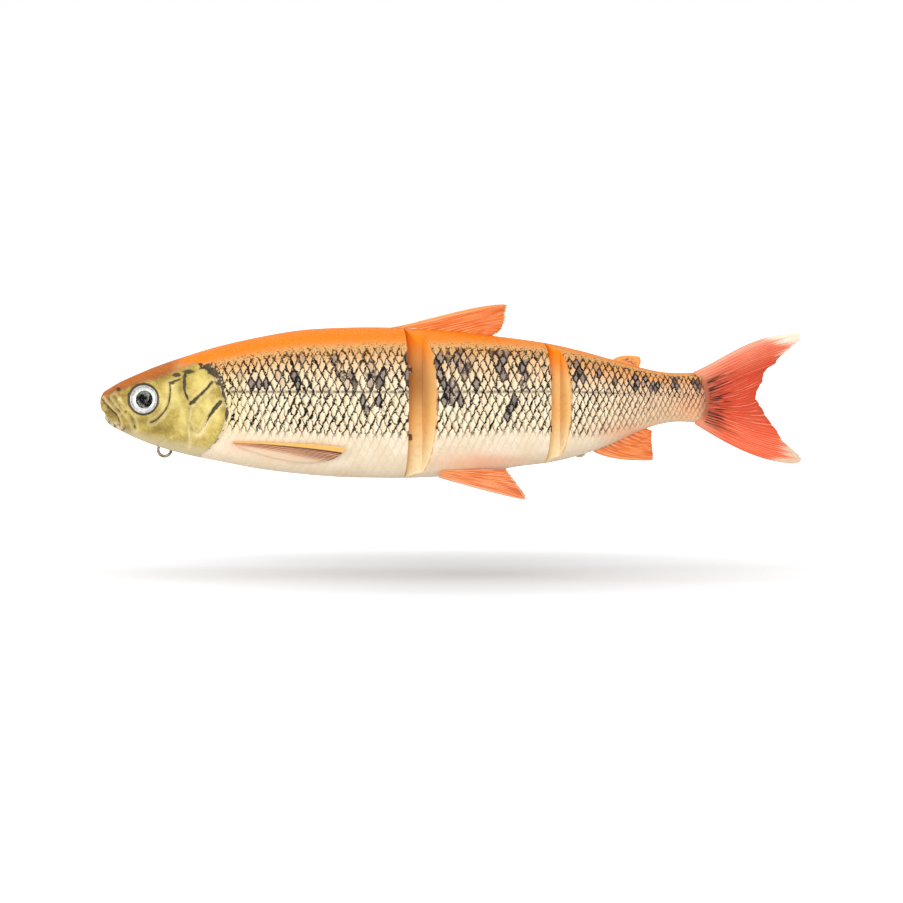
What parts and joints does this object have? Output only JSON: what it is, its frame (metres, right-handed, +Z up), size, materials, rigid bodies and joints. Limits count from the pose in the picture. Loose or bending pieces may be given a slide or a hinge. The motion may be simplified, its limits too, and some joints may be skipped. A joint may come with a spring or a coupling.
{
  "type": "jointed swimbait",
  "caption": "Jointed fish-shaped lure: hard hollow body sections swing on upright pins and carry soft fins, a soft forked tail, domed eyes and a wire line tie under the throat.",
  "frame": {"origin": "middle of the whole lure's bounding box, on its centre plane", "axes": "+X from nose to tail, +Z up towards the back, +Y towards the fish's right flank, so its left flank is at -Y"},
  "size_m": [0.25, 0.028, 0.0698],
  "materials": {
    "body_shell": "clear-coated paint over moulded plastic",
    "iris_foil": "silver foil",
    "pupil_black": "gloss black",
    "eye_lens": "clear domed resin",
    "wire_steel": "drawn stainless wire",
    "hinge_steel": "stainless",
    "ballast_metal": "cast metal",
    "soft_fin": "soft translucent plastic",
    "soft_tail": "soft translucent plastic"
  },
  "bodies": {
    "front_section": {"front_shell_left": "body_shell", "front_shell_right": "body_shell", "eye_iris_left": "iris_foil", "eye_iris_right": "iris_foil", "eye_pupil_left": "pupil_black", "eye_pupil_right": "pupil_black", "eye_lens_left": "eye_lens", "eye_lens_right": "eye_lens", "line_tie": "wire_steel", "front_ballast": "ballast_metal", "front_hinge_plate_upper": "hinge_steel", "front_hinge_plate_lower": "hinge_steel", "pectoral_fin_left": "soft_fin", "pectoral_fin_right": "soft_fin"},
    "middle_section": {"middle_shell_left": "body_shell", "middle_shell_right": "body_shell", "middle_ballast": "ballast_metal", "front_hinge_pin": "hinge_steel", "rear_hinge_plate_upper": "hinge_steel", "rear_hinge_plate_lower": "hinge_steel", "dorsal_fin": "soft_fin", "pelvic_fin_left": "soft_fin", "pelvic_fin_right": "soft_fin"},
    "rear_section": {"rear_shell_left": "body_shell", "rear_shell_right": "body_shell", "rear_hinge_pin": "hinge_steel", "hook_hanger": "wire_steel", "adipose_fin": "soft_fin", "anal_fin": "soft_fin"},
    "tail": {"tail": "soft_tail"}
  },
  "joints": [
    {"name": "front_joint", "type": "hinge", "parent": "front_section", "child": "middle_section", "pos_m": [-0.0113, 0, 0], "axis": [0, 0, 1], "range_deg": [-30, 30]},
    {"name": "rear_joint", "type": "hinge", "parent": "middle_section", "child": "rear_section", "pos_m": [0.0379, 0, 0], "axis": [0, 0, 1], "range_deg": [-30, 30]},
    {"name": "tail_flex", "type": "hinge", "parent": "rear_section", "child": "tail", "pos_m": [0.0845, 0, 0], "axis": [0, 0, 1], "range_deg": [-15, 15], "stiffness_Nm_per_rad": 0.01}
  ]
}
